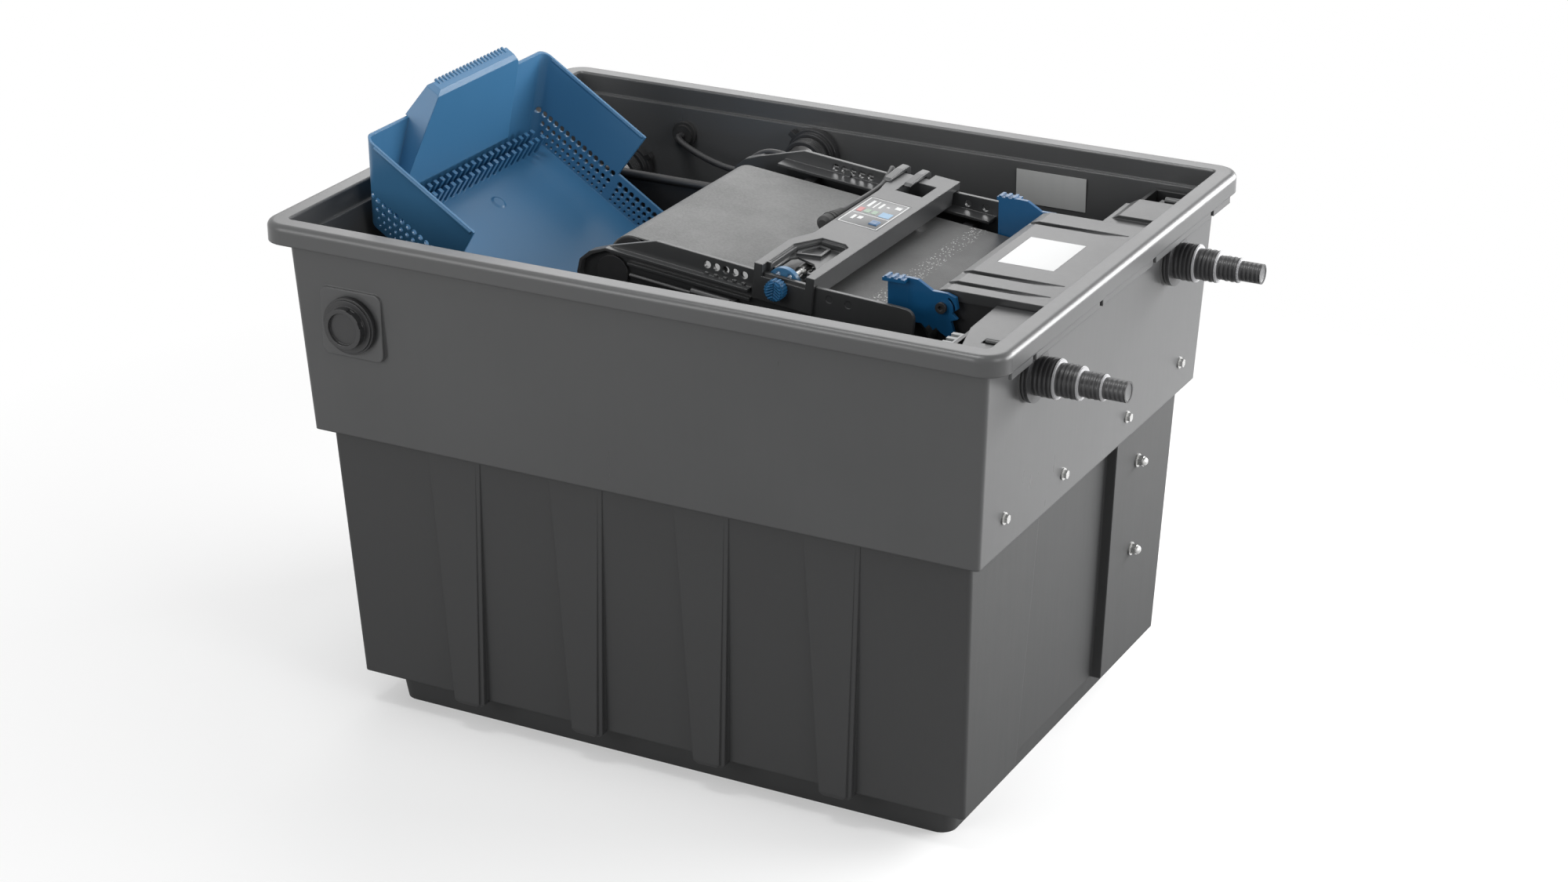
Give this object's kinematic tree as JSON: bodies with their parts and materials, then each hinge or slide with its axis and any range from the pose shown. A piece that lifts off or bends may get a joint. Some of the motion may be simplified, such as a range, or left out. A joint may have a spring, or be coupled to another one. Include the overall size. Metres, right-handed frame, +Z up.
{
  "type": "pond filter tank",
  "caption": "Open pond filter tank with motor-driven screen belt, lift-out dirt tray, inlet box with lid, stepped hose adapters and foam cartridges.",
  "frame": {"origin": "centre of the tank's foot, on the ground", "axes": "+X towards the end with the two stepped hose adapters, -Y towards the long side with the blind plug, +Z up"},
  "size_m": [0.8619, 0.6577, 0.6258],
  "materials": {
    "tank_plastic": "satin anthracite polyethylene",
    "dark_plastic": "satin",
    "blue_plastic": "satin",
    "pale_plastic": "matt",
    "soft_black": "matt",
    "seal_rubber": "matt",
    "cable_rubber": "matt",
    "stainless": "brushed",
    "belt_mesh": "fine woven screen",
    "foam_blue": "open-cell foam",
    "foam_red": "open-cell foam",
    "label_film": "plain film"
  },
  "bodies": {
    "tank_body": {"tank": "tank_plastic", "partition_wall": "dark_plastic", "tray_rack": "dark_plastic", "unit_beam": "dark_plastic", "foam_grate": "dark_plastic", "foam_coarse": "foam_blue", "foam_fine": "foam_red", "cartridge_rods": "dark_plastic", "inlet_box": "dark_plastic", "box_brackets": "dark_plastic", "cover_front": "tank_plastic", "cover_rear": "tank_plastic", "inlet_comb": "pale_plastic", "adapter_front": "soft_black", "adapter_rear": "soft_black", "adapter_seals": "seal_rubber", "adapter_nuts": "dark_plastic", "blind_plug": "dark_plastic", "plug_seal": "seal_rubber", "plug_nut": "dark_plastic", "outlet_low": "dark_plastic", "outlet_high": "dark_plastic", "outlet_seals": "seal_rubber", "outlet_nuts": "dark_plastic", "drain_neck": "dark_plastic", "drain_cap": "soft_black", "bracket_screws": "stainless", "stud_nuts": "stainless", "cable_grommet": "seal_rubber", "rating_plate": "label_film", "side_frame_front": "dark_plastic", "side_frame_rear": "dark_plastic", "belt_slats": "dark_plastic", "screen_belt": "belt_mesh", "tension_rods": "dark_plastic", "belt_scraper": "dark_plastic", "drive_housing": "tank_plastic", "gear_motor": "dark_plastic", "control_panel": "label_film", "cable_gland": "seal_rubber", "frame_clips": "tank_plastic", "lever_pins": "soft_black", "cable_inner": "cable_rubber", "cable_outer": "cable_rubber", "cable_coil": "cable_rubber", "cable_plug": "soft_black"},
    "drive": {"drive_shaft": "stainless", "hand_knob": "blue_plastic", "hand_wheel": "blue_plastic"},
    "head_roller": {"head_drum": "dark_plastic"},
    "tail_roller": {"tail_roller": "dark_plastic"},
    "front_lever": {"latch_lever_front": "blue_plastic"},
    "rear_lever": {"latch_lever_rear": "blue_plastic"},
    "tray": {"dirt_tray": "blue_plastic"},
    "lid": {"inlet_lid": "tank_plastic", "lid_label": "label_film"},
    "button": {"push_button": "blue_plastic"}
  },
  "joints": [
    {"name": "head_spin", "type": "hinge", "parent": "tank_body", "child": "head_roller", "pos_m": [-0.077, 0, 0.492], "axis": [0, 1, 0], "continuous": true},
    {"name": "tail_spin", "type": "hinge", "parent": "tank_body", "child": "tail_roller", "pos_m": [0.21942, 0, 0.46137], "axis": [0, 1, 0], "continuous": true},
    {"name": "drive_spin", "type": "hinge", "parent": "tank_body", "child": "drive", "pos_m": [0.10345, 0, 0.50653], "axis": [0, 1, 0], "continuous": true},
    {"name": "front_lever_turn", "type": "hinge", "parent": "tank_body", "child": "front_lever", "pos_m": [0.258, -0.124, 0.5035], "axis": [0, 1, 0], "range_deg": [0, 40]},
    {"name": "rear_lever_turn", "type": "hinge", "parent": "tank_body", "child": "rear_lever", "pos_m": [0.258, 0.124, 0.5035], "axis": [0, 1, 0], "range_deg": [0, 40]},
    {"name": "tray_lift", "type": "slide", "parent": "tank_body", "child": "tray", "axis": [0, 0, 1], "range_m": [0, 0.3]},
    {"name": "lid_lift", "type": "slide", "parent": "tank_body", "child": "lid", "axis": [0, 0, 1], "range_m": [0, 0.15]},
    {"name": "button_press", "type": "slide", "parent": "tank_body", "child": "button", "axis": [-0.1028, 0, -0.9947], "range_m": [0, 0.0012], "stiffness_N_per_m": 150}
  ],
  "couplings": [
    {"joint": "tail_spin", "follows": "head_spin", "ratio": 1},
    {"joint": "drive_spin", "follows": "head_spin", "ratio": -3.125}
  ]
}
